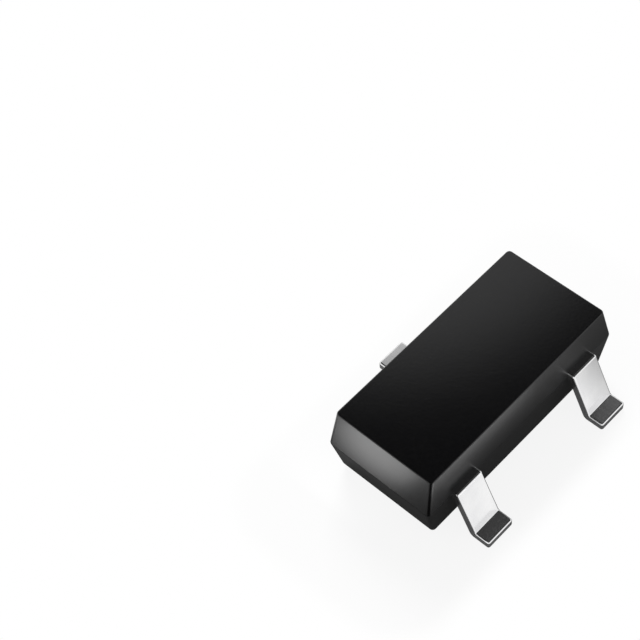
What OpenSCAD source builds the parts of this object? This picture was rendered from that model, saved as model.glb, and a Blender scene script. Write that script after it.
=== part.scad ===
// Three-lead voltage supervisor in a small surface-mount package.
// A silicon chip is glued to a stamped lead frame, wired to its leads and moulded into black epoxy.
// The origin is on the board, midway between the lead tips. Z points up, X runs along the body,
// and the side with two leads faces -Y. All sizes are in millimetres.

/* [Moulded body] */
// Length of the body at its parting line
body_length = 3.01; // [2.5:0.01:3.6]
// Width of the body at its parting line
body_width = 1.39; // [1.14:0.01:1.66]
// Depth of the upper mould half, from the parting line to the top
upper_half = 0.48; // [0.44:0.01:0.6]
// Depth of the lower mould half, from the parting line to the underside
lower_half = 0.50; // [0.4:0.01:0.6]
// Gap between the board and the underside of the body
standoff = 0.05; // [0.02:0.01:0.1]
// Flat band that the two mould halves leave at the parting line
parting_land = 0.008; // [0.004:0.001:0.02]
// Slope of the two end faces away from upright, in degrees
end_draft = 12.5; // [5:0.5:15]
// Slope of the two long faces away from upright, in degrees
side_draft = 5; // [3:0.5:8]
// Radius of the four upright corners
corner_radius = 0.045; // [0.04:0.005:0.1]
// Radius along the edges of the top
top_edge_radius = 0.015; // [0.01:0.005:0.03]
// Radius along the edges of the underside
underside_edge_radius = 0.025; // [0.01:0.005:0.03]

/* [Leads] */
// Distance from one lead position to the next along the body
lead_pitch = 0.95; // [0.86:0.01:1.15]
// Width of a lead outside the body
lead_width = 0.39; // [0.3:0.01:0.45]
// Thickness of the lead frame strip
lead_thickness = 0.10; // [0.08:0.005:0.13]
// Distance between the lead tips, across the body
lead_span = 2.39; // [1.99:0.01:2.9]
// Height of a lead's upper face above the parting line
lead_rise = 0.065; // [0.04:0.005:0.08]
// Level run of a lead's underside between the body and its upper bend
shoulder_reach = 0.015; // [0.01:0.005:0.04]
// Length of a foot, from its tip to where the slope's underside would meet the board
foot_length = 0.245; // [0.2:0.005:0.3]
// Outer radius of a lead's upper bend
shoulder_radius = 0.045; // [0.02:0.005:0.06]
// Outer radius of a lead's lower bend
heel_radius = 0.07; // [0.02:0.005:0.09]
// Inner radius of both bends
bend_inner_radius = 0.015; // [0.005:0.005:0.02]
// Radius on the upper and lower edges of a lead's tip
tip_radius = 0.015; // [0.005:0.005:0.03]

/* [Lead frame inside the body] */
// Reach of the flag past each end of the chip
flag_end_margin = 0.18; // [0.1:0.01:0.22]
// Reach of the flag past the chip on the side with two leads
flag_front_margin = 0.125; // [0.08:0.005:0.16]
// Reach of the flag past the chip on the side of its own lead
flag_back_margin = 0.245; // [0.2:0.005:0.28]
// Gap between the flag and the two inner lead pads
frame_gap = 0.16; // [0.1:0.01:0.2]
// Reach of an inner lead pad past its lead, towards the end of the body
pad_reach = 0.055; // [0.02:0.005:0.12]
// Length of an inner lead pad across the body
pad_length = 0.54; // [0.45:0.01:0.65]
// Width of the neck between the flag and its lead
neck_width = 0.52; // [0.46:0.01:0.7]
// Corner radius of the stamped frame
stamping_radius = 0.04; // [0.02:0.01:0.06]

/* [Chip] */
// Length of the chip along the body
chip_length = 0.72; // [0.6:0.01:0.87]
// Width of the chip across the body
chip_width = 0.60; // [0.5:0.01:0.72]
// Thickness of the chip
chip_thickness = 0.18; // [0.1:0.01:0.22]
// Thickness of the adhesive under the chip
adhesive_thickness = 0.02; // [0.01:0.005:0.03]
// Reach of the adhesive's fillet around the chip
adhesive_margin = 0.04; // [0.02:0.005:0.05]
// Height that the fillet climbs up the chip's sides
adhesive_climb = 0.07; // [0.04:0.01:0.1]
// Width of the fillet's upper lip
adhesive_lip = 0.008; // [0.004:0.002:0.012]

/* [Bond wires] */
// Diameter of a bond wire
wire_diameter = 0.025; // [0.018:0.001:0.03]
// Diameter of the ball that joins a wire to the chip
ball_diameter = 0.064; // [0.05:0.002:0.08]
// Height of the squashed ball
ball_height = 0.012; // [0.01:0.001:0.02]
// Height of the cone between ball and wire
ball_neck_height = 0.012; // [0.008:0.001:0.02]
// Distance from a ball's centre to the chip's edges
bond_inset = 0.09; // [0.06:0.01:0.12]
// Height above the chip of the loop's two corners, before they are rounded
loop_height = 0.11; // [0.09:0.01:0.12]
// Distance along the chip from the ball to the loop's second corner
loop_crest = 0.08; // [0.06:0.01:0.1]
// Radius of the loop's corners
loop_radius = 0.035; // [0.02:0.005:0.04]
// Length of the flattened end that joins a wire to the frame
stitch_length = 0.05; // [0.03:0.005:0.06]
// Width of the flattened end
stitch_width = 0.055; // [0.04:0.005:0.07]
// Thickness of the flattened end
stitch_thickness = 0.01; // [0.006:0.001:0.014]
// Distance from a stitch's tip to the edge of the flag or pad that it lands on
stitch_inset = 0.05; // [0.03:0.01:0.08]

/* [Hidden] */

// Colours: the outside as the photograph shows it, the inside as such parts are
compound_black = [0.05, 0.05, 0.055];
tin_silver = [0.78, 0.78, 0.79];
silicon_grey = [0.36, 0.37, 0.42];
adhesive_grey = [0.62, 0.62, 0.60];
gold_yellow = [0.95, 0.76, 0.36];

// Heights above the board
parting_z = standoff + lower_half;
top_z = parting_z + upper_half;
frame_top_z = parting_z + lead_rise;
frame_bottom_z = frame_top_z - lead_thickness;
chip_top_z = frame_top_z + adhesive_thickness + chip_thickness;

// Side view of a lead, as distances from the middle of the body
tip_y = lead_span / 2;
heel_y = tip_y - foot_length;
shoulder_y = body_width / 2 + shoulder_reach;
bend_angle = atan2(frame_bottom_z, heel_y - shoulder_y);
// How much further out a bend's upper corner lies than its lower one
bend_shift = lead_thickness * tan(bend_angle / 2);

// The flag under the chip, and the pads at the inner ends of the other two leads
flag_length = chip_length + 2 * flag_end_margin;
flag_width = flag_front_margin + chip_width + flag_back_margin;
flag_edge_y = flag_width / 2;
chip_y = flag_front_margin + chip_width / 2 - flag_edge_y;
pad_inner_x = flag_length / 2 + frame_gap;
pad_outer_x = lead_pitch + lead_width / 2 + pad_reach;
pad_width = pad_outer_x - pad_inner_x;
pad_y = pad_length / 2 - flag_edge_y;

// Width of the cone over a ball, where it stands on it
cone_diameter = 2 * wire_diameter;

// Thickness of each slice of a hull, and how finely round things are drawn
slice = 0.001;
edge_steps = 4;
arc_steps = 6;
wire_sides = 12;

function unit(v) = v / norm(v);

function turned(v, angle) = [
    v.x * cos(angle) - v.y * sin(angle),
    v.x * sin(angle) + v.y * cos(angle),
];

// Points of a corner's arc, between its sides towards the points before and after it
function corner_arc(before, here, after, radius) =
    radius == 0 ? [here] :
    let (
        to_before = unit(before - here),
        to_after = unit(after - here),
        half_angle = acos(to_before * to_after) / 2,
        centre = here + unit(to_before + to_after) * radius / sin(half_angle),
        start = here + to_before * radius / tan(half_angle) - centre,
        sweep = sign(cross(to_after, to_before)) * (180 - 2 * half_angle)
    )
    [for (k = [0:arc_steps]) centre + turned(start, sweep * k / arc_steps)];

// A closed outline whose corners, given as [x, y, radius], are rounded
function rounded(corners) =
    let (count = len(corners), flat = [for (c = corners) [c.x, c.y]])
    [
        for (i = [0:count - 1])
            each corner_arc(flat[(i + count - 1) % count], flat[i], flat[(i + 1) % count],
                corners[i].z)
    ];

module rounded_plate(length, width, radius) {
    x = length / 2;
    y = width / 2;
    polygon(rounded([[x, -y, radius], [x, y, radius], [-x, y, radius], [-x, -y, radius]]));
}

// One level of the body: its drafted outline, drawn in by a further inset
module body_slice(z, inset, thickness) {
    rise = abs(z - parting_z);
    translate([0, 0, z - thickness / 2])
        linear_extrude(thickness)
            rounded_plate(
                body_length - 2 * (rise * tan(end_draft) + inset),
                body_width - 2 * (rise * tan(side_draft) + inset),
                corner_radius - inset);
}

// The body's outer shape: two drafted halves that meet in a narrow land
module body_shape() {
    hull() {
        body_slice(parting_z, 0, parting_land);
        for (k = [0:edge_steps]) {
            inward = 1 - cos(90 * k / edge_steps);
            back = 1 - sin(90 * k / edge_steps);
            body_slice(top_z - slice / 2 - top_edge_radius * back,
                top_edge_radius * inward, slice);
            body_slice(standoff + slice / 2 + underside_edge_radius * back,
                underside_edge_radius * inward, slice);
        }
    }
}

// The compound fills all the space around what it is moulded on to
module moulded_body() {
    color(compound_black)
        difference() {
            body_shape();
            lead_1();
            lead_2();
            lead_3_with_flag();
            silicon_chip();
            chip_adhesive();
            bond_wire_1();
            bond_wire_2();
            bond_wire_3();
        }
}

// The strip of a lead that leaves the body towards +Y and bends down to the board
module bent_strip() {
    rotate([90, 0, 90])
        linear_extrude(lead_width, center = true)
            polygon(rounded([
                [flag_edge_y - stamping_radius, frame_bottom_z, 0],
                [shoulder_y, frame_bottom_z, bend_inner_radius],
                [heel_y, 0, heel_radius],
                [tip_y, 0, tip_radius],
                [tip_y, lead_thickness, tip_radius],
                [heel_y + bend_shift, lead_thickness, bend_inner_radius],
                [shoulder_y + bend_shift, frame_top_z, shoulder_radius],
                [flag_edge_y - stamping_radius, frame_top_z, 0],
            ]));
}

// A flat part of the stamped frame, given its plan
module frame_plate() {
    translate([0, 0, frame_bottom_z])
        linear_extrude(lead_thickness)
            children();
}

// A lead on the side with two, at the +X end, with the pad that its wire is stitched to
module paired_lead() {
    color(tin_silver) {
        translate([lead_pitch, 0, 0])
            rotate(180) bent_strip();
        translate([(pad_inner_x + pad_outer_x) / 2, pad_y, 0])
            frame_plate()
                rounded_plate(pad_width, pad_length, stamping_radius);
    }
}

module lead_1() {
    mirror([1, 0, 0]) paired_lead();
}

module lead_2() {
    paired_lead();
}

// The lead on its own side, in one piece with the flag that carries the chip
module lead_3_with_flag() {
    color(tin_silver) {
        bent_strip();
        frame_plate() {
            rounded_plate(flag_length, flag_width, stamping_radius);
            translate([0, flag_edge_y])
                square([neck_width, 2 * stamping_radius], center = true);
        }
    }
}

module silicon_chip() {
    color(silicon_grey)
        translate([0, chip_y, chip_top_z - chip_thickness / 2])
            cube([chip_length, chip_width, chip_thickness], center = true);
}

// One level of the adhesive, which reaches past the chip by a margin
module adhesive_slice(z, margin) {
    translate([0, chip_y, z])
        linear_extrude(slice)
            rounded_plate(chip_length + 2 * margin, chip_width + 2 * margin, margin);
}

module chip_adhesive() {
    color(adhesive_grey)
        difference() {
            hull() {
                adhesive_slice(frame_top_z, adhesive_margin);
                adhesive_slice(frame_top_z + adhesive_thickness + adhesive_climb - slice,
                    adhesive_lip);
            }
            silicon_chip();
        }
}

// The middle line of a wire, in the upright plane through its ball and its stitch.
// It rises from the ball, runs level past the chip's edge and comes down to the frame.
function wire_path(heel_x) =
    let (
        start = [0, chip_top_z + ball_height + ball_neck_height],
        rise = [0, chip_top_z + loop_height],
        crest = [loop_crest, chip_top_z + loop_height],
        heel = [heel_x, frame_top_z + wire_diameter / 2]
    )
    concat(
        [start],
        corner_arc(start, rise, crest, loop_radius),
        corner_arc(rise, crest, heel, loop_radius),
        [heel]
    );

// Slope of a path at one of its points: upright at the ball and level at the stitch
function path_slope(path, i) =
    i == 0 ? 90 :
    i == len(path) - 1 ? 0 :
    let (step = path[i + 1] - path[i - 1])
    atan2(step.y, step.x);

// One ring of points round a wire's middle line, with flats below and above
function wire_ring(place, slope, width, height) = [
    for (k = [0:wire_sides - 1])
        let (
            angle = 360 * (k + 0.5) / wire_sides,
            across = width / 2 * cos(angle) / cos(180 / wire_sides),
            up = height / 2 * sin(angle) / cos(180 / wire_sides)
        )
        [place.x - up * sin(slope), across, place.y + up * cos(slope)]
];

// Rings of the squashed ball, and of the foot of the cone over it
function ball_rings() = [
    for (step = [[0, ball_diameter], [ball_height, ball_diameter], [ball_height, cone_diameter]])
        wire_ring([0, chip_top_z + step.x], 90, step.y, step.y)
];

// Rings of the wire from the top of the cone to the frame
function run_rings(path) = [
    for (i = [0:len(path) - 1])
        wire_ring(path[i], path_slope(path, i), wire_diameter, wire_diameter)
];

// Rings of the end that is pressed flat on to the frame
function stitch_rings(tip_x) = [
    for (x = [tip_x - stitch_length / 2, tip_x])
        wire_ring([x, frame_top_z + stitch_thickness / 2], 0, stitch_width, stitch_thickness)
];

// Faces that close a stack of rings into a solid
function tube_faces(rings, sides) = [
    [for (k = [0:sides - 1]) k],
    for (i = [0:rings - 2])
        for (k = [0:sides - 1])
            let (a = i * sides + k, b = i * sides + (k + 1) % sides)
            each [[a, b + sides, b], [a, a + sides, b + sides]],
    [for (k = [sides - 1:-1:0]) (rings - 1) * sides + k],
];

// A bond wire from the middle of its ball on the chip to the tip of its stitch on the frame
module bond_wire(from, to) {
    run = to - from;
    reach = norm(run);
    rings = concat(ball_rings(), run_rings(wire_path(reach - stitch_length)), stitch_rings(reach));
    color(gold_yellow)
        translate([from.x, from.y, 0])
            rotate(atan2(run.y, run.x))
                polyhedron([for (ring = rings) each ring], tube_faces(len(rings), wire_sides));
}

// Places of the balls on the chip, and of the stitches' tips on the frame
ball_x = chip_length / 2 - bond_inset;
front_ball_y = chip_y - chip_width / 2 + bond_inset;
back_ball_y = chip_y + chip_width / 2 - bond_inset;
pad_stitch_x = pad_inner_x + stitch_inset + 2 * stitch_length;
flag_stitch_y = flag_edge_y - stitch_inset;

module bond_wire_1() {
    bond_wire([-ball_x, front_ball_y], [-pad_stitch_x, pad_y]);
}

module bond_wire_2() {
    bond_wire([ball_x, front_ball_y], [pad_stitch_x, pad_y]);
}

module bond_wire_3() {
    bond_wire([ball_x, back_ball_y], [ball_x, flag_stitch_y]);
}

moulded_body();
lead_1();
lead_2();
lead_3_with_flag();
silicon_chip();
chip_adhesive();
bond_wire_1();
bond_wire_2();
bond_wire_3();
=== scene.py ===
# %% [markdown]
# # A voltage supervisor, three millimetres long
#
# This chip watches a supply voltage and holds its circuit in reset while the voltage is too low. It comes in
# a small three-lead package: a silicon chip, glued to a stamped metal flag and wired with gold, with black
# epoxy moulded around it. The lesson builds each piece the way the factory does: first the leads, then the
# chip with its glue and wires, and the body last, with pockets for all that it is moulded on.
#
# The CAD model comes first and stays fixed. Every piece made here takes the place of one CAD solid.

# %% Load the CAD frame
import math

import bmesh
import bpy
from mathutils import Euler, Matrix, Vector


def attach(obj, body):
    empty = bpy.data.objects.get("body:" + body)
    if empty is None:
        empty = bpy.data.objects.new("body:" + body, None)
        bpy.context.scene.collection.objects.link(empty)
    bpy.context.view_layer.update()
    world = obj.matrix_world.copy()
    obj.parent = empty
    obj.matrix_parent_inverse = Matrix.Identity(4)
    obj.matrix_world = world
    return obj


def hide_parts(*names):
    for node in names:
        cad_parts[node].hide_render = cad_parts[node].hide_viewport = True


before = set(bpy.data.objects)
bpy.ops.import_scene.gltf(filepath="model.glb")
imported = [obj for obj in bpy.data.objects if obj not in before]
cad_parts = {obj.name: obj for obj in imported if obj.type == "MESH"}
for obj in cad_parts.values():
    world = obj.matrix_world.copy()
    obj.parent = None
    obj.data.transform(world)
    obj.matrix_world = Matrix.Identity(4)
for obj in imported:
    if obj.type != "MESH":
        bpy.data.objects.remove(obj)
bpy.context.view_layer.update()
print("CAD nodes:", sorted(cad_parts))

# %% [markdown]
# ## Work in millimetres
#
# Some edges of this part are rounded by a hundredth of a millimetre. Blender's bevel and its booleans skip
# steps that small when a unit is a metre. So each piece is modelled with one unit as one millimetre, and
# shrunk to metres when it is finished.
#
# The leads, the glue and the wires all start from the lead frame, the stamped strip inside the body, so its
# height comes first.

# %% The unit, and the height of the lead frame
MM = 0.001

strip_thickness = 0.10
frame_top = 0.615
frame_bottom = frame_top - strip_thickness
print("lead frame lies from", round(frame_bottom, 3), "to", frame_top, "mm above the board")

# %% [markdown]
# ## The camera
#
# The photograph was taken from high on the left. The package's straight edges give the camera's place, its
# turn and its focal length, because they are parallel on the real part and run together in the picture. The
# part fills only a corner of the photograph, so the camera aims past it.

# %% Place the camera
camera_place = Vector((-7.568, -6.359, 15.441)) * MM
camera_turn = [math.radians(angle) for angle in (35.977, 4.160, -46.813)]
focal_length = 93.69
sensor_width = 36
nearest_seen = 1 * MM
furthest_seen = 2000 * MM

camera_data = bpy.data.cameras.new("camera")
camera_data.lens = focal_length
camera_data.sensor_width = sensor_width
camera_data.clip_start = nearest_seen
camera_data.clip_end = furthest_seen
camera = bpy.data.objects.new("camera", camera_data)
camera.location = camera_place
camera.rotation_euler = Euler(camera_turn)
bpy.context.scene.collection.objects.link(camera)
bpy.context.scene.camera = camera
bpy.context.scene.view_settings.view_transform = "Standard"
print("camera is", round(camera_place.length / MM, 1), "mm from the middle of the part's underside")

# %% [markdown]
# ## Helpers for materials
#
# A colour picker shows sRGB values, and the renderer counts in linear light. The first helper turns a picked
# colour into the renderer's, with the constants of the sRGB standard. The next two set a node's sockets, and
# add a node with its settings and links, so that each material reads as a short list.

# %% Colour and node helpers
def linear(hex_code):
    """An sRGB colour such as #808080, as the renderer's linear red, green, blue and alpha."""
    shares = [int(hex_code[start:start + 2], 16) / 255 for start in (1, 3, 5)]
    return [s / 12.92 if s <= 0.04045 else ((s + 0.055) / 1.055) ** 2.4 for s in shares] + [1]


def connect(tree, node, sockets):
    """Gives each socket a constant, or links another node's output to it."""
    for socket, value in sockets.items():
        if isinstance(value, bpy.types.NodeSocket):
            tree.links.new(value, node.inputs[socket])
        else:
            node.inputs[socket].default_value = value


def add_node(tree, kind, sockets=None, **settings):
    """Adds one node with its settings, and connects its sockets."""
    node = tree.nodes.new(kind)
    for name, value in settings.items():
        setattr(node, name, value)
    connect(tree, node, sockets or {})
    return node


print("the middle grey #808080 is", round(linear("#808080")[0], 3), "in linear light")

# %% [markdown]
# ## Start a material
#
# Each finish of the part is a Principled shader with patterns in the object's own coordinates. A pattern's
# scale follows from its real size. The values of a noise gather around the middle, so two limits say between
# which of them nearly all lie.

# %% Materials and the scale of their patterns
def blank_material(name):
    """A material with an empty node tree, and that tree."""
    material = bpy.data.materials.new(name)
    material.use_nodes = True
    material.node_tree.nodes.clear()
    return material, material.node_tree


def new_material(name):
    """A material with its tree, its shader and the object's own coordinates."""
    material, tree = blank_material(name)
    shader = add_node(tree, "ShaderNodeBsdfPrincipled")
    add_node(tree, "ShaderNodeOutputMaterial", {"Surface": shader.outputs["BSDF"]})
    place = add_node(tree, "ShaderNodeTexCoord").outputs["Object"]
    return material, tree, shader, place


def per_metre(size_mm):
    """The scale of a noise whose features are about this size on the part."""
    return 1 / (size_mm * MM)


noise_low = 0.3
noise_high = 0.7
print("a pattern of 1 mm needs a scale of", round(per_metre(1)))

# %% [markdown]
# ## The black moulding compound
#
# The body is epoxy with about eighty per cent of fine silica, coloured with carbon black, and pressed hot
# into a steel mould. The side walls of that mould are spark eroded, and the floor of its upper half is
# smoother. So the top is a soft dark mirror that stays black under a dark ceiling, and the walls spread
# what stands beside them into a satin grey sheen. The material tells them apart by how far a face looks up.
# The eroded grain is about 0.03 mm wide. A second, wider pattern is the slow change of gloss that the flow
# of the compound leaves.

# %% Moulding compound
grain_size = 0.03
grain_colours = ((0.35, "#030304"), (0.80, "#0a0a0b"))
grain_depth = 0.002
grain_strength = 0.06
flow_size = 0.5
gloss_change = 0.03
wall_roughness = 0.36
wall_looks_up = 0.6
top_roughness = 0.10
top_looks_up = 0.98
epoxy_ior = 1.55

compound, tree, shader, place = new_material("silica_filled_epoxy_spark_eroded_finish")
grain = add_node(tree, "ShaderNodeTexNoise",
    {"Vector": place, "Scale": per_metre(grain_size), "Detail": 3, "Roughness": 0.55})
flow = add_node(tree, "ShaderNodeTexNoise", {"Vector": place, "Scale": per_metre(flow_size)})
facing_up = add_node(tree, "ShaderNodeSeparateXYZ",
    {0: add_node(tree, "ShaderNodeTexCoord").outputs["Normal"]}).outputs["Z"]
eroded = add_node(tree, "ShaderNodeMapRange", {"Value": facing_up, "From Min": wall_looks_up,
    "From Max": top_looks_up, "To Min": wall_roughness, "To Max": top_roughness})
gloss = add_node(tree, "ShaderNodeMapRange", {"Value": flow.outputs["Fac"], "From Min": noise_low,
    "From Max": noise_high, "To Min": 1 - gloss_change, "To Max": 1 + gloss_change})
roughness = add_node(tree, "ShaderNodeMath", {0: eroded.outputs["Result"], 1: gloss.outputs["Result"]},
    operation="MULTIPLY")
flecks = add_node(tree, "ShaderNodeValToRGB", {"Fac": grain.outputs["Fac"]})
for stop, (position, hex_code) in zip(flecks.color_ramp.elements, grain_colours):
    stop.position = position
    stop.color = linear(hex_code)
relief = add_node(tree, "ShaderNodeBump",
    {"Height": grain.outputs["Fac"], "Strength": grain_strength, "Distance": grain_depth * MM})
connect(tree, shader, {"Base Color": flecks.outputs["Color"], "Roughness": roughness.outputs[0],
    "Normal": relief.outputs["Normal"], "IOR": epoxy_ior})
print("compound:", len(tree.nodes), "nodes")

# %% [markdown]
# ## Bright tin plating
#
# The leads are a copper alloy strip, stamped, then plated with a few micrometres of tin so that they solder
# well. The strip was rolled, and the rolling marks run along it and show through the plating as faint
# streaks. So the leads are mirrors with a slight grain: a face is white where it mirrors the bright table
# and nearly black where it mirrors the dark ceiling. The real marks are finer than a pixel, and they are
# drawn 0.012 mm apart so that they just show.

# %% Tin plating
streak_width = 0.012
streak_length = 0.6
streak_depth = 0.0004
streak_strength = 0.12
smoothest = 0.10
roughest = 0.16
cloud_size = 0.25
cloud_colours = ((noise_low, "#e8e8e9"), (noise_high, "#f4f4f4"))

tin, tree, shader, place = new_material("bright_tin_plating_over_rolled_strip")
along = add_node(tree, "ShaderNodeMapping",
    {"Vector": place, "Scale": [per_metre(streak_width), per_metre(streak_length), per_metre(streak_length)]})
streaks = add_node(tree, "ShaderNodeTexNoise",
    {"Vector": along.outputs["Vector"], "Scale": 1, "Roughness": 0.6})
clouds = add_node(tree, "ShaderNodeTexNoise", {"Vector": place, "Scale": per_metre(cloud_size)})
sharpness = add_node(tree, "ShaderNodeMapRange", {"Value": streaks.outputs["Fac"], "From Min": noise_low,
    "From Max": noise_high, "To Min": smoothest, "To Max": roughest})
tint = add_node(tree, "ShaderNodeValToRGB", {"Fac": clouds.outputs["Fac"]})
for stop, (position, hex_code) in zip(tint.color_ramp.elements, cloud_colours):
    stop.position = position
    stop.color = linear(hex_code)
relief = add_node(tree, "ShaderNodeBump",
    {"Height": streaks.outputs["Fac"], "Strength": streak_strength, "Distance": streak_depth * MM})
connect(tree, shader, {"Base Color": tint.outputs["Color"], "Roughness": sharpness.outputs["Result"],
    "Normal": relief.outputs["Normal"], "Metallic": 1})
print("tin:", len(tree.nodes), "nodes")

# %% [markdown]
# ## The finishes inside the package
#
# Nobody sees these unless the package is cut open, and they still belong to the part. The chip is polished
# silicon under a clear glassy coat, with bare aluminium pads. Its glue is epoxy packed with silver flakes,
# which cures to a dull pale grey. The wires are drawn gold.

# %% Silicon and its aluminium pads
circuit_size = 0.03
circuit_colours = ("#4c5568", "#6d6a80")
pad_grain_size = 0.004

silicon, tree, shader, place = new_material("polished_silicon_under_nitride")
circuit = add_node(tree, "ShaderNodeTexVoronoi",
    {"Vector": place, "Scale": per_metre(circuit_size)}, distance="CHEBYCHEV")
layers = add_node(tree, "ShaderNodeValToRGB", {"Fac": circuit.outputs["Distance"]})
for stop, hex_code in zip(layers.color_ramp.elements, circuit_colours):
    stop.color = linear(hex_code)
connect(tree, shader, {"Base Color": layers.outputs["Color"], "Metallic": 0.8, "Roughness": 0.15})

aluminium, tree, shader, place = new_material("sputtered_aluminium_pads")
grains = add_node(tree, "ShaderNodeTexNoise", {"Vector": place, "Scale": per_metre(pad_grain_size)})
dullness = add_node(tree, "ShaderNodeMapRange",
    {"Value": grains.outputs["Fac"], "To Min": 0.2, "To Max": 0.45})
connect(tree, shader, {"Base Color": linear("#d6d8da"), "Metallic": 1,
    "Roughness": dullness.outputs["Result"]})
print("chip finishes:", silicon.name, "and", aluminium.name)

# %% Silver-filled glue and gold
flake_size = 0.01
flake_depth = 0.001
flake_colours = ("#c4c2bc", "#8f8d88")
draw_mark_size = 0.006

glue, tree, shader, place = new_material("silver_filled_epoxy_cured")
flakes = add_node(tree, "ShaderNodeTexVoronoi", {"Vector": place, "Scale": per_metre(flake_size)})
shade = add_node(tree, "ShaderNodeValToRGB", {"Fac": flakes.outputs["Distance"]})
for stop, hex_code in zip(shade.color_ramp.elements, flake_colours):
    stop.color = linear(hex_code)
relief = add_node(tree, "ShaderNodeBump",
    {"Height": flakes.outputs["Distance"], "Strength": 0.4, "Distance": flake_depth * MM})
connect(tree, shader, {"Base Color": shade.outputs["Color"], "Metallic": 0.5, "Roughness": 0.5,
    "Normal": relief.outputs["Normal"]})

gold, tree, shader, place = new_material("drawn_gold_wire")
draw_marks = add_node(tree, "ShaderNodeTexNoise", {"Vector": place, "Scale": per_metre(draw_mark_size)})
polish = add_node(tree, "ShaderNodeMapRange",
    {"Value": draw_marks.outputs["Fac"], "To Min": 0.15, "To Max": 0.3})
connect(tree, shader, {"Base Color": linear("#f3cf7a"), "Metallic": 1, "Roughness": polish.outputs["Result"]})
print("glue and wire finishes:", glue.name, "and", gold.name)

# %% [markdown]
# ## Helpers for modelling
#
# Every piece starts from a cube or a circle. A block is a cube stretched to its place. A cut divides faces
# along planes, and an extrusion pulls one face further. Faces, corners and edges are found again by the way
# they point and the place where they lie, with two small tolerances.

# %% Block, cut and pull
aligned = 0.999
same_place = 1e-4
on_plane = 1e-6


def block(x_span, y_span, z_span):
    """A cube stretched between two places along each axis."""
    bm = bmesh.new()
    bmesh.ops.create_cube(bm, size=1)
    spans = (x_span, y_span, z_span)
    bmesh.ops.scale(bm, vec=[high - low for low, high in spans], verts=bm.verts)
    bmesh.ops.translate(bm, vec=[(low + high) / 2 for low, high in spans], verts=bm.verts)
    return bm


def cut(bm, axis, places, chosen=lambda face: True):
    """Divides the chosen faces along planes square to one axis, at the given places."""
    normal = Vector([float(axis == k) for k in range(3)])
    for place in places:
        bm.normal_update()
        faces = [face for face in bm.faces if chosen(face)]
        parts = dict.fromkeys(part for face in faces for part in (face, *face.edges, *face.verts))
        bmesh.ops.bisect_plane(bm, geom=list(parts), dist=on_plane, plane_co=normal * place,
            plane_no=normal)
    bm.normal_update()


def facing(bm, normal, near):
    """The face that looks along a direction and lies nearest to a point."""
    looking = [f for f in bm.faces if f.normal.dot(Vector(normal)) > aligned]
    return min(looking, key=lambda f: (f.calc_center_median() - Vector(near)).length)


def extrude(bm, face, keep=False):
    """Extrudes one face, removes the face it started from unless that is kept, and gives the new one."""
    made = bmesh.ops.extrude_face_region(bm, geom=[face])["geom"]
    if not keep:
        bmesh.ops.delete(bm, geom=[face], context="FACES_ONLY")
    return next(part for part in made if isinstance(part, bmesh.types.BMFace))


def pull(bm, face, lower_to, upper_to):
    """Extrudes an upright face, and moves its lower and upper edge to new places in Y and Z."""
    end = extrude(bm, face)
    middle = end.calc_center_median().z
    for corner in end.verts:
        corner.co.yz = upper_to if corner.co.z > middle else lower_to
    return end


print("directions match above", aligned, "and places within", same_place, "mm")

# %% [markdown]
# ## Round the edges, and make the object
#
# All rounding is done with one bevel, which takes the distance from the edge at which it starts and a number
# of steps. Each rounding below is written as such a pair, and a bend as its radius and steps. The object is
# made at the end, still in millimetres.

# %% Round and make
def along_axis(edge, axis):
    """True for an edge that runs along one axis."""
    step = (edge.verts[1].co - edge.verts[0].co).normalized()
    return abs(step[axis]) > aligned


def at_height(bm, height):
    """The corners that lie at one height."""
    return [v for v in bm.verts if abs(v.co.z - height) < same_place]


def round_off(bm, edges, offset, steps):
    """Rounds edges with a circular bevel that starts this far from them."""
    bmesh.ops.bevel(bm, geom=edges, offset=offset, offset_type="OFFSET", segments=steps,
        profile=0.5, affect="EDGES", material=-1)


def round_corners(bm, radius, steps):
    """Rounds the upright edges of a block."""
    round_off(bm, [e for e in bm.edges if along_axis(e, 2)], radius, steps)


def make_object(bm, name, *finishes):
    """Turns a bmesh into an object with these materials, its faces pointing outwards."""
    bm.normal_update()
    bmesh.ops.recalc_face_normals(bm, faces=bm.faces)
    mesh = bpy.data.meshes.new(name)
    bm.to_mesh(mesh)
    bm.free()
    for finish in finishes:
        mesh.materials.append(finish)
    piece = bpy.data.objects.new(name, mesh)
    bpy.context.scene.collection.objects.link(piece)
    print(name, "has", len(mesh.polygons), "faces")
    return piece


# %% [markdown]
# ## A lead, seen from its side
#
# A lead leaves the body level, bends down about 65 degrees and ends in a short flat foot. The bending tool
# squeezes the corners, so the outside of a bend is rounder than its inside. A strip that is mitred at its
# two bends and then rounded there by a bevel gives the same shape. The stamping punch draws the upper
# edges down into a soft round, and leaves the lower edges, where the metal breaks off, almost sharp.

# %% The sizes of a lead
lead_width = 0.39
tip_y = 1.195
heel_y = 0.95
shoulder_y = 0.71
bend = math.atan2(frame_bottom, heel_y - shoulder_y)
mitre = strip_thickness * math.tan(bend / 2)

outer_shoulder = (0.032, 10)
outer_heel = (0.07, 12)
inner_bend = (0.015, 5)
tip_corner = (0.026, 5)
upper_rim = (0.024, 4)
lower_rim = (0.010, 3)
print("bend of", round(math.degrees(bend), 1), "degrees")

# %% Bend a lead and round its rims
flat_angle = 0.01
rim_angle = math.radians(60)
looks_up = 0.3


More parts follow.
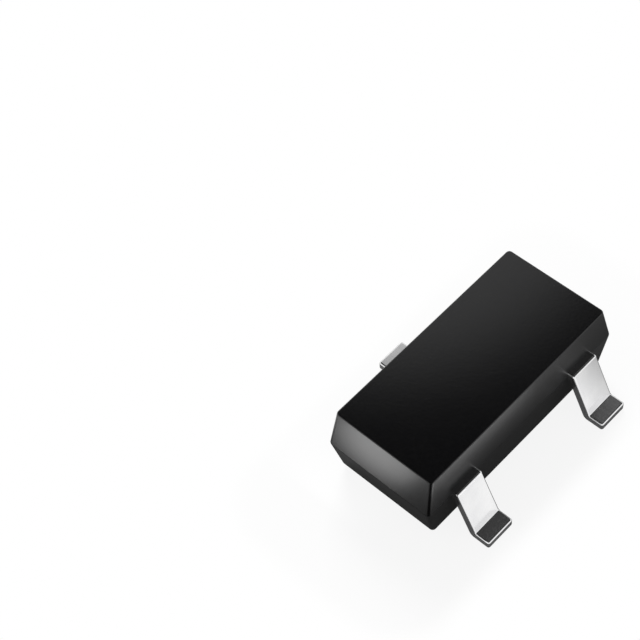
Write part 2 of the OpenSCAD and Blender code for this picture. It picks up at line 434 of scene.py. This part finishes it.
def bend_down(bm, face, side):
    """Pulls the end face of a level strip out and down to the board. Side is 1 towards +Y, -1 towards -Y."""
    face = pull(bm, face, (side * shoulder_y, frame_bottom), (side * (shoulder_y + mitre), frame_top))
    face = pull(bm, face, (side * heel_y, 0), (side * (heel_y + mitre), strip_thickness))
    pull(bm, face, (side * tip_y, 0), (side * tip_y, strip_thickness))
    bmesh.ops.dissolve_limit(bm, angle_limit=flat_angle, verts=bm.verts, edges=bm.edges)

    bends = (
        (shoulder_y + mitre, frame_top, outer_shoulder),
        (shoulder_y, frame_bottom, inner_bend),
        (heel_y, 0, outer_heel),
        (heel_y + mitre, strip_thickness, inner_bend),
    )
    for y, z, (radius, steps) in bends:
        creases = [e for e in bm.edges if along_axis(e, 0)
            and (e.verts[0].co.yz - Vector((side * y, z))).length < same_place]
        round_off(bm, creases, radius * math.tan(bend / 2), steps)

    tip_edges = [e for e in bm.edges
        if along_axis(e, 2) and abs(e.verts[0].co.y - side * tip_y) < same_place]
    round_off(bm, tip_edges, *tip_corner)


def round_the_rims(bm):
    """Rounds the edges between the strip's broad faces and its stamped sides, the upper ones more."""
    bm.normal_update()
    rims = [e for e in bm.edges if e.calc_face_angle(0) > rim_angle and not along_axis(e, 2)]
    upper = [e for e in rims if max(face.normal.z for face in e.link_faces) > looks_up]
    lower = [e for e in rims if e not in upper]
    round_off(bm, upper, *upper_rim)
    round_off(bm, lower, *lower_rim)


print("a rim is an edge of more than", round(math.degrees(rim_angle)), "degrees")

# %% [markdown]
# ## The two leads of the front side
#
# Inside the body each of these leads ends in a wider pad, where a wire is welded on. The pad starts as a
# block. Two cuts mark the lead's width on its front face, and that part is pulled out and bent down.

# %% Leads 1 and 2
lead_pitch = 0.95
pad_inner_x = 0.70
pad_outer_x = 1.20
pad_front_y = -0.485
pad_back_y = 0.055
stamped_corner = (0.04, 6)


def front_lead(name, side):
    """One lead with its pad, on the left (side -1) or the right (side 1)."""
    lead_x = side * lead_pitch
    bm = block(sorted((side * pad_inner_x, side * pad_outer_x)), (pad_front_y, pad_back_y),
        (frame_bottom, frame_top))
    round_corners(bm, *stamped_corner)
    cut(bm, 0, (lead_x - lead_width / 2, lead_x + lead_width / 2))
    bend_down(bm, facing(bm, (0, -1, 0), (lead_x, pad_front_y, frame_top)), -1)
    round_the_rims(bm)
    return make_object(bm, name, tin)


left_lead = front_lead("tinned_lead_1", -1)
right_lead = front_lead("tinned_lead_2", 1)

# %% [markdown]
# ## The lead with the flag
#
# The third lead is one piece with the flag, the plate that carries the chip. A short neck, a little wider
# than the lead, joins them. It is made as the others are, with the neck pulled out before the lead.

# %% Lead 3 and its flag
flag_half_length = 0.54
flag_half_width = 0.485
neck_width = 0.52
neck_reach = 0.04


def flag_with_lead(name):
    """The flag, its neck and the lead towards +Y."""
    bm = block((-flag_half_length, flag_half_length), (-flag_half_width, flag_half_width),
        (frame_bottom, frame_top))
    round_corners(bm, *stamped_corner)
    cut(bm, 0, (-neck_width / 2, neck_width / 2))
    neck_y = flag_half_width + neck_reach
    pull(bm, facing(bm, (0, 1, 0), (0, flag_half_width, frame_top)),
        (neck_y, frame_bottom), (neck_y, frame_top))
    cut(bm, 0, (-lead_width / 2, lead_width / 2),
        lambda face: face.normal.y > aligned and face.calc_center_median().y > neck_y - same_place)
    bend_down(bm, facing(bm, (0, 1, 0), (0, neck_y, frame_top)), 1)
    round_the_rims(bm)
    return make_object(bm, name, tin)


flag_lead = flag_with_lead("tinned_lead_3_with_flag")

# %% [markdown]
# ## The chip
#
# A sawn block of silicon. Its top has four aluminium pads in windows of the glassy coat: three for the
# wires, and one that the maker only probes. Each window is a fine groove around a pad, cut by insetting the
# pad's face twice, first down and then up again.

# %% Silicon chip
chip_half_length = 0.36
chip_front_y = -0.36
chip_back_y = 0.24
chip_bottom = 0.635
chip_top = 0.815
ball_x = 0.27
front_ball_y = -0.27
back_ball_y = 0.15
pad_half = 0.04
groove_width = 0.003
groove_depth = 0.0015

bm = block((-chip_half_length, chip_half_length), (chip_front_y, chip_back_y), (chip_bottom, chip_top))
for axis, centres in ((0, (-ball_x, ball_x)), (1, (front_ball_y, back_ball_y))):
    cut(bm, axis, [centre + step for centre in centres for step in (-pad_half, pad_half)],
        lambda face: face.normal.z > aligned)
pads = [facing(bm, (0, 0, 1), (x, y, chip_top))
    for x in (-ball_x, ball_x) for y in (front_ball_y, back_ball_y)]
for depth in (-groove_depth, groove_depth):
    bmesh.ops.inset_individual(bm, faces=pads, thickness=groove_width, depth=depth)
for pad in pads:
    pad.material_index = 1
chip = make_object(bm, "silicon_chip_with_pads", silicon, aluminium)

# %% [markdown]
# ## The glue under the chip
#
# A dot of glue is pressed flat by the chip and climbs its sides a little, in a hollow curve like the edge
# of water in a glass. It is a block with rounded corners whose upper levels are drawn in step by step. The
# list gives each level's share of the height, and the share of the margin that is left there.

# %% Chip adhesive
glue_margin = 0.04
glue_corner_steps = 6
glue_lip = 0.008
glue_top = 0.705
meniscus = ((0.25, 0.52), (0.5, 0.22), (0.75, 0.07), (1.0, 0.0))

chip_centre_y = (chip_front_y + chip_back_y) / 2
chip_half_width = (chip_back_y - chip_front_y) / 2
bm = block((-chip_half_length - glue_margin, chip_half_length + glue_margin),
    (chip_front_y - glue_margin, chip_back_y + glue_margin), (frame_top, glue_top))
round_corners(bm, glue_margin, glue_corner_steps)

levels = [(frame_top + share * (glue_top - frame_top), left) for share, left in meniscus]
cut(bm, 2, [height for height, left in levels[:-1]])
for height, left in levels:
    margin = glue_lip + left * (glue_margin - glue_lip)
    shrink = [(half + margin) / (half + glue_margin) for half in (chip_half_length, chip_half_width)]
    bmesh.ops.scale(bm, vec=(*shrink, 1), verts=at_height(bm, height),
        space=Matrix.Translation((0, -chip_centre_y, 0)))
adhesive = make_object(bm, "cured_chip_adhesive", glue)

# %% [markdown]
# ## The recess for the chip
#
# A boolean subtracts the chip from its glue, which leaves the recess that the chip sits in. The result is
# kept as the glue's own mesh at once, so that later steps work on a plain mesh.

# %% Carve one piece out of another
def apply_modifiers(piece):
    """Replaces an object's mesh by what its modifiers make of it."""
    depsgraph = bpy.context.evaluated_depsgraph_get()
    old = piece.data
    piece.data = bpy.data.meshes.new_from_object(piece.evaluated_get(depsgraph))
    piece.modifiers.clear()
    bpy.data.meshes.remove(old)


def carve(piece, *contents):
    """Subtracts other pieces one by one, and keeps each result at once."""
    for content in contents:
        pocket = piece.modifiers.new("pocket", "BOOLEAN")
        pocket.operation = "DIFFERENCE"
        pocket.solver = "EXACT"
        pocket.object = content
        apply_modifiers(piece)
    print(piece.name, "has", len(piece.data.polygons), "faces with its pockets")


carve(adhesive, chip)

# %% [markdown]
# ## The bond wires
#
# A machine melts a ball on the wire's end, presses it on a pad, lifts the wire into a loop and squeezes its
# other end flat on the lead, in a stitch. The whole wire is one closed tube. It starts as a disc under the
# ball, and its cap is extruded again and again: up over the ball, along the loop, and out into the stitch.

# %% The path of a wire
wire_diameter = 0.025
ball_diameter = 0.064
ball_height = 0.012
cone_height = 0.012
loop_height = 0.11
loop_crest = 0.08
loop_radius = 0.035
arc_steps = 8
stitch_length = 0.05


def arc(before, corner, after, radius):
    """Points on the arc that rounds a corner of a path."""
    back, on = (before - corner).normalized(), (after - corner).normalized()
    half = back.angle(on) / 2
    centre = corner + (back + on).normalized() * radius / math.sin(half)
    start = corner + back * radius / math.tan(half) - centre
    sweep = (math.pi - 2 * half) * (-1 if back.cross(on) > 0 else 1)
    turns = [Matrix.Rotation(-sweep * k / arc_steps, 2) for k in range(arc_steps + 1)]
    return [centre + turn @ start for turn in turns]


def wire_path(reach):
    """The middle of the wire: up from the ball, over the loop and down to the stitch."""
    start = Vector((0, chip_top + ball_height + cone_height))
    above = Vector((0, chip_top + loop_height))
    crest = Vector((loop_crest, chip_top + loop_height))
    heel = Vector((reach - stitch_length, frame_top + wire_diameter / 2))
    return [start, *arc(start, above, crest, loop_radius), *arc(above, crest, heel, loop_radius), heel]


print("the wires rise to", round(chip_top + loop_height, 3), "mm above the board")

# %% [markdown]
# ## From the path to rings
#
# Each ring of the tube has a width and a height. The ball swells in its middle and ends in a short cone, and
# the stitch gets wider as it gets thinner. The ball's rings lie at shares of its height, and the stitch's at
# shares of its length, each with the share of its full width.

# %% The rings of a wire
upright = math.pi / 2
ball_levels = (0, 0.25, 0.6, 1)
ball_end_width = 0.86
cone_level = 0.3
cone_width = 1.6
stitch_width = 0.055
stitch_thickness = 0.01
stitch_flat_from = 0.7
stitch_levels = ((0.35, 0.75), (stitch_flat_from, 1), (1, 0.9))


def wire_rings(reach):
    """Every ring of the tube: distance along, height, slope, width and height of the ring."""
    rings = []
    for share in ball_levels:
        size = ball_diameter * (ball_end_width + (1 - ball_end_width) * math.sin(math.pi * share))
        rings.append((0, chip_top + share * ball_height, upright, size, size))
    cone_z = chip_top + ball_height + cone_level * cone_height
    rings.append((0, cone_z, upright, cone_width * wire_diameter, cone_width * wire_diameter))

    path = wire_path(reach)
    slopes = [math.atan2(*(after - before).yx) for before, after in zip(path, path[2:])]
    for here, slope in zip(path, (upright, *slopes, 0)):
        rings.append((here.x, here.y, slope, wire_diameter, wire_diameter))

    for share, full in stitch_levels:
        flattened = min(1, share / stitch_flat_from)
        height = wire_diameter + (stitch_thickness - wire_diameter) * flattened
        rings.append((reach - stitch_length * (1 - share), frame_top + height / 2, 0,
            wire_diameter + (stitch_width - wire_diameter) * full, height))
    return rings


print("each wire has", len(wire_rings(1)), "rings")

# %% [markdown]
# ## From rings to a tube
#
# The circle is made a little too wide for its radius, so that the flats between its corners, and not the
# corners, lie at half the wire's width. Each ring is the last one moved to its new place.

# %% Three bond wires
wire_sides = 20
pad_stitch_x = 0.85
pad_stitch_y = -0.215
flag_stitch_y = 0.435


def bond_wire(name, start, end):
    """A wire from the middle of its ball on the chip to the tip of its stitch on the frame."""
    run = Vector(end) - Vector(start)
    to_place = Matrix.Translation((*start, 0)) @ Matrix.Rotation(math.atan2(run.y, run.x), 4, "Z")
    half_side = math.pi / wire_sides
    bm = bmesh.new()
    bmesh.ops.create_circle(bm, cap_ends=True, radius=0.5 / math.cos(half_side), segments=wire_sides)
    bmesh.ops.rotate(bm, verts=bm.verts, matrix=Matrix.Rotation(half_side, 3, "Z"))
    cap = bm.faces[:][0]
    last = Matrix.Identity(4)
    for number, (x, z, slope, width, height) in enumerate(wire_rings(run.length)):
        ring = (Matrix.Translation((x, 0, z)) @ Matrix.Rotation(upright - slope, 4, "Y")
            @ Matrix.Diagonal((height, width, 1, 1)))
        if number:
            cap = extrude(bm, cap, keep=number == 1)
        bmesh.ops.transform(bm, matrix=ring @ last.inverted(), verts=cap.verts)
        last = ring
    bmesh.ops.transform(bm, matrix=to_place, verts=bm.verts)
    return make_object(bm, name, gold)


wires = [
    bond_wire("gold_wire_1", (-ball_x, front_ball_y), (-pad_stitch_x, pad_stitch_y)),
    bond_wire("gold_wire_2", (ball_x, front_ball_y), (pad_stitch_x, pad_stitch_y)),
    bond_wire("gold_wire_3", (ball_x, back_ball_y), (ball_x, flag_stitch_y)),
]

# %% [markdown]
# ## The body
#
# The mould closes in two halves that meet at the middle of the leads. Each half gets narrower away from
# that line, by 12.5 degrees at the ends and 5 degrees at the long sides, so that the part comes out. The
# body starts as a block, is cut at the parting line and tapered, and then its edges are rounded: the
# upright corners first, then the rims of the top and underside, and last the line where the halves meet.

# %% Outside of the body
body_length = 3.01
body_width = 1.39
standoff = 0.05
parting_z = 0.55
top_z = 1.03
end_draft = math.radians(12.5)
side_draft = math.radians(5)
upright_corner = (0.045, 8)
top_rim = (0.015, 4)
under_rim = (0.025, 4)
parting_rim = (0.012, 5)

bm = block((-body_length / 2, body_length / 2), (-body_width / 2, body_width / 2), (standoff, top_z))
cut(bm, 2, (parting_z,))
for height in (standoff, top_z):
    away = abs(height - parting_z)
    end_taper = 1 - 2 * away * math.tan(end_draft) / body_length
    side_taper = 1 - 2 * away * math.tan(side_draft) / body_width
    bmesh.ops.scale(bm, vec=(end_taper, side_taper, 1), verts=at_height(bm, height))

drafted = [e for e in bm.edges if abs(e.verts[0].co.z - e.verts[1].co.z) > same_place]
round_off(bm, drafted, *upright_corner)
for height, rounding in ((top_z, top_rim), (standoff, under_rim), (parting_z, parting_rim)):
    corners = set(at_height(bm, height))
    rim = [e for e in bm.edges if corners.issuperset(e.verts)]
    round_off(bm, rim, *rounding)
body = make_object(bm, "moulded_epoxy_body", compound)

# %% [markdown]
# ## Mould the body around its contents
#
# The compound fills every gap, so the body's inner walls are the outsides of all other pieces. The same
# booleans that made room for the chip in its glue make room for everything here.

# %% Pockets of the body
carve(body, left_lead, right_lead, flag_lead, chip, adhesive, *wires)

# %% [markdown]
# ## Finish the pieces
#
# Smooth shading hides the steps of the rounded edges, and face-weighted normals keep the flat faces flat
# beside them. The modifier for that compares the areas of faces as plain numbers, and areas in square
# metres would all seem equal, so it is applied in millimetres. Each piece then shrinks to metres, rides on
# the package and stands for its CAD solid.

# %% Shade, shrink and tie the pieces
sharp_from = math.radians(50)
flat_weight = 90
flat_threshold = 0.0001


def settle(piece, node):
    """Shades a piece, turns it to metres, and puts it in the place of its CAD node."""
    piece.data.shade_smooth()
    piece.data.set_sharp_from_angle(angle=sharp_from)
    flats = piece.modifiers.new("flat faces stay flat", "WEIGHTED_NORMAL")
    flats.mode = "FACE_AREA"
    flats.weight = flat_weight
    flats.thresh = flat_threshold
    flats.keep_sharp = True
    apply_modifiers(piece)
    piece.data.transform(Matrix.Scale(MM, 4))
    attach(piece, "root")
    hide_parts(node)


settle(body, "moulded_body")
settle(left_lead, "lead_1")
settle(right_lead, "lead_2")
settle(flag_lead, "lead_3_with_flag")
settle(chip, "silicon_chip")
settle(adhesive, "chip_adhesive")
for number, wire in enumerate(wires, start=1):
    settle(wire, f"bond_wire_{number}")

# %% [markdown]
# ## The table
#
# The part stands on a plain pale table that should be a white ground in the picture and keep the part's
# shadow. So the camera sees the table's own shading close to the part, and nearly plain white further out.
# The shading fades with the distance from a box that is as wide as the body and longer at each end.
#
# Bright tin is a mirror, and most of what it shows is the table. The mirrored table is therefore set apart
# from the seen one, and painted: it is a painted grey shade close to the part, white a little further out,
# white at a low angle as a painted sheen, and painted dimmer towards the right. That grey also keeps the
# light that bounces up from the table low.

# %% Sheets for the table and the cards
def lay_sheet(name, size, place, turn, finish):
    """A flat sheet around the part. Its size and the place of its middle are in millimetres."""
    bm = bmesh.new()
    bmesh.ops.create_grid(bm, x_segments=1, y_segments=1, size=0.5)
    bmesh.ops.scale(bm, vec=(*size, 1), verts=bm.verts)
    bmesh.ops.rotate(bm, verts=bm.verts, matrix=Euler(turn).to_matrix())
    bmesh.ops.translate(bm, verts=bm.verts, vec=place)
    bmesh.ops.scale(bm, vec=(MM, MM, MM), verts=bm.verts)
    mesh = bpy.data.meshes.new(name)
    bm.to_mesh(mesh)
    bm.free()
    mesh.materials.append(finish)
    sheet = bpy.data.objects.new(name, mesh)
    bpy.context.scene.collection.objects.link(sheet)
    print(name, "measures", size, "mm")
    return sheet


# %% Where the table turns white
end_shade = 0.5
shade_starts = 0.52
shade_ends = 0.84
shadow_paleness = 0.87

paper, tree = blank_material("matte_white_paper")
place = add_node(tree, "ShaderNodeTexCoord").outputs["Object"]
from_middle = add_node(tree, "ShaderNodeVectorMath", {0: place}, operation="ABSOLUTE")
shaded_box = ((body_length / 2 + end_shade) * MM, body_width / 2 * MM, 0)
past_edge = add_node(tree, "ShaderNodeVectorMath", {0: from_middle.outputs[0], 1: shaded_box},
    operation="SUBTRACT")
outside = add_node(tree, "ShaderNodeVectorMath", {0: past_edge.outputs[0], 1: (0, 0, 0)},
    operation="MAXIMUM")
distance = add_node(tree, "ShaderNodeVectorMath", {0: outside.outputs[0]}, operation="LENGTH")
fade = add_node(tree, "ShaderNodeMapRange", {"Value": distance.outputs["Value"],
    "From Min": shade_starts * MM, "From Max": shade_ends * MM}, interpolation_type="SMOOTHSTEP")
pale_fade = add_node(tree, "ShaderNodeMapRange", {"Value": fade.outputs["Result"], "To Min": shadow_paleness})
print("the table turns white", shade_ends, "mm from the body's long sides")

# %% How the table looks in a mirror
low_angles = (0.45, 0.62)
bright_side = 0.30
dim_side = 1.10
dim_whiteness = 0.35
slant = -0.476
shade_glow = 0.045

# Painted sheen: in a mirror the table turns white at a low angle.
grazing = add_node(tree, "ShaderNodeLayerWeight").outputs["Facing"]
sheen = add_node(tree, "ShaderNodeMapRange", {"Value": grazing, "From Min": low_angles[0],
    "From Max": low_angles[1]}, interpolation_type="SMOOTHSTEP")
clear = add_node(tree, "ShaderNodeMath", {0: fade.outputs["Result"], 1: sheen.outputs["Result"]},
    operation="MAXIMUM")
# Painted shade: in a mirror the table gets dimmer towards the right, along a slanted line.
across = add_node(tree, "ShaderNodeSeparateXYZ", {0: place}).outputs["X"]
sideways = add_node(tree, "ShaderNodeSeparateXYZ", {0: from_middle.outputs[0]}).outputs["Y"]
slanted = add_node(tree, "ShaderNodeMath", {0: sideways, 1: slant, 2: across}, operation="MULTIPLY_ADD")
painted_dimming = add_node(tree, "ShaderNodeMapRange", {"Value": slanted.outputs[0], "From Min": bright_side * MM,
    "From Max": dim_side * MM, "To Min": 1, "To Max": dim_whiteness}, interpolation_type="SMOOTHSTEP")
mirror_fade = add_node(tree, "ShaderNodeMath", {0: clear.outputs[0], 1: painted_dimming.outputs["Result"]},
    operation="MULTIPLY")
# Painted light: in a mirror the shade close to the part still glows a little.
mirror_glow = add_node(tree, "ShaderNodeMath", {0: mirror_fade.outputs[0], 1: shade_glow},
    operation="MAXIMUM")
print("in a mirror the right side is", dim_whiteness, "as white as the left")

# %% Table
table_size = 600
paper_seen = "#fafafa"
# Mirrors see this grey paper close to the part, as a painted shade; bounced light comes from it too.
paper_for_bounces_and_mirrored_shade = "#646464"

ray = add_node(tree, "ShaderNodeLightPath")
mirrored = add_node(tree, "ShaderNodeMath",
    {0: ray.outputs["Is Glossy Ray"], 1: ray.outputs["Is Transmission Ray"]}, operation="MAXIMUM")
white_in_mirror = add_node(tree, "ShaderNodeMath",
    {0: mirrored.outputs[0], 1: mirror_glow.outputs[0]}, operation="MULTIPLY")
white_in_camera = add_node(tree, "ShaderNodeMath",
    {0: ray.outputs["Is Camera Ray"], 1: pale_fade.outputs["Result"]}, operation="MULTIPLY")
whiteness = add_node(tree, "ShaderNodeMath",
    {0: white_in_mirror.outputs[0], 1: white_in_camera.outputs[0]}, operation="MAXIMUM")
colour = add_node(tree, "ShaderNodeMix", {"Factor": ray.outputs["Is Camera Ray"],
    "A": linear(paper_for_bounces_and_mirrored_shade), "B": linear(paper_seen)}, data_type="RGBA")
dull = add_node(tree, "ShaderNodeBsdfDiffuse", {"Color": colour.outputs["Result"]})
glow = add_node(tree, "ShaderNodeEmission", {"Color": linear("#ffffff"), "Strength": 1})
mixed = add_node(tree, "ShaderNodeMixShader",
    {0: whiteness.outputs[0], 1: dull.outputs[0], 2: glow.outputs[0]})
add_node(tree, "ShaderNodeOutputMaterial", {"Surface": mixed.outputs[0]})
lay_sheet("table", (table_size, table_size), (0, 0, 0), (0, 0, 0), paper)

# %% [markdown]
# ## A dark card by the near corner
#
# Photographers draw the edges of black things with dark cards. Here a narrow strip of black velvet stands
# close to the near upright corner, out of the camera's sight. The rounded corner mirrors it as a thin black
# line between two lit faces, as in the photograph.

# %% Dark card
dark_card_size = (0.42, 1.3)
dark_card_place = (-1.65, -0.885, 0.85)
dark_card_turn = (math.radians(90), 0, math.radians(-41))

velvet, tree = blank_material("black_velvet")
pile = add_node(tree, "ShaderNodeBsdfDiffuse", {"Color": linear("#050505")})
add_node(tree, "ShaderNodeOutputMaterial", {"Surface": pile.outputs[0]})
dark_card = lay_sheet("dark card", dark_card_size, dark_card_place, dark_card_turn, velvet)
# Hidden from the camera, from bounced light and from shadows, the card only paints a dark line into the
# corner's reflection.
dark_card.visible_camera = False
dark_card.visible_diffuse = False
dark_card.visible_shadow = False

# %% [markdown]
# ## The light
#
# The metal shows its surroundings, so these matter more than the lamps. The part stands in a low white
# surround under a dark ceiling. Two soft windows are set in that ceiling, each with the direction of its
# middle, the angles at which it starts to show and is full, and its brightness. The first one lights the
# far corner of the top and the third lead's foot. The second one is faint, for the second lead's foot.

# %% Surroundings
ceiling_level = 0.045
band_fades = (0.52, 0.68)
windows = (
    (45, 46.5, 11.0, 7.1, 0.82),
    (20, 56, 6.8, 5.8, 0.15),
)


def direction_to(azimuth, elevation):
    """The way to a place around the part. Azimuth turns from +X to +Y, both in degrees."""
    around, up = math.radians(azimuth), math.radians(elevation)
    return Vector((math.cos(around) * math.cos(up), math.sin(around) * math.cos(up), math.sin(up)))


world = bpy.data.worlds.new("white surround, dark ceiling")
bpy.context.scene.world = world
world.use_nodes = True
tree = world.node_tree
tree.nodes.clear()
direction = add_node(tree, "ShaderNodeTexCoord").outputs["Generated"]
height = add_node(tree, "ShaderNodeSeparateXYZ", {0: direction}).outputs["Z"]
band = add_node(tree, "ShaderNodeMapRange", {"Value": height, "From Min": band_fades[0],
    "From Max": band_fades[1], "To Min": 1, "To Max": ceiling_level}, interpolation_type="SMOOTHSTEP")
brightest = band.outputs["Result"]
for azimuth, elevation, outer, inner, level in windows:
    closeness = add_node(tree, "ShaderNodeVectorMath",
        {0: direction, 1: direction_to(azimuth, elevation)}, operation="DOT_PRODUCT")
    window = add_node(tree, "ShaderNodeMapRange", {"Value": closeness.outputs["Value"],
        "From Min": math.cos(math.radians(outer)), "From Max": math.cos(math.radians(inner)),
        "To Max": level}, interpolation_type="SMOOTHSTEP")
    brightest = add_node(tree, "ShaderNodeMath", {0: brightest, 1: window.outputs["Result"]},
        operation="MAXIMUM").outputs[0]
ray = add_node(tree, "ShaderNodeLightPath")
strength = add_node(tree, "ShaderNodeMath", {0: brightest, 1: ray.outputs["Is Camera Ray"]},
    operation="MAXIMUM")
background = add_node(tree, "ShaderNodeBackground",
    {"Color": linear("#ffffff"), "Strength": strength.outputs[0]})
add_node(tree, "ShaderNodeOutputWorld", {"Surface": background.outputs[0]})
print("surroundings:", len(tree.nodes), "nodes")

# %% [markdown]
# ## Lamps and bright cards
#
# Two large soft lamps light everything from behind and above. They are hidden from mirrors, so that the
# leads don't show them. A black body needs something to mirror as well, or it is only a dark shape. So two
# small bright cards stand where only the walls of the body mirror them: one beside the end face, and one
# along the front side, at the height at which the leads come out.

# %% Lamps
lamp_distance = 60


def soft_lamp(name, place, aim, size, radiance, shape="RECTANGLE", in_mirrors=False):
    """A flat lamp at a place, turned to another, both in millimetres. A radiance of 1 is white."""
    data = bpy.data.lights.new(name, "AREA")
    data.shape = shape
    data.size, data.size_y = [side * MM for side in size]
    data.energy = radiance * math.pi * data.size * data.size_y
    lamp = bpy.data.objects.new(name, data)
    lamp.location = Vector(place) * MM
    lamp.rotation_euler = (Vector(place) - Vector(aim)).to_track_quat("Z", "Y").to_euler()
    lamp.visible_camera = False
    lamp.visible_glossy = in_mirrors
    bpy.context.scene.collection.objects.link(lamp)
    print(name, "of", size, "mm")


soft_lamp("back lamp", place=direction_to(azimuth=50, elevation=42) * lamp_distance, aim=(0, 0, 0),
    size=(26, 26), radiance=12)
soft_lamp("overhead lamp", place=(0, 0, lamp_distance), aim=(0, 0, 0), size=(70, 70), radiance=0.4)

# %% Bright cards
soft_lamp("card by the end face", place=(-2.18, 0.46, 0.33), aim=(-1.48, 0.46, 0.93), size=(1.15, 0.42),
    radiance=3.4, shape="ELLIPSE", in_mirrors=True)
soft_lamp("card by the front side", place=(-0.6, -1.06, 0.58), aim=(-0.6, -1.06, 2), size=(2.2, 0.20),
    radiance=1.6, shape="ELLIPSE", in_mirrors=True)
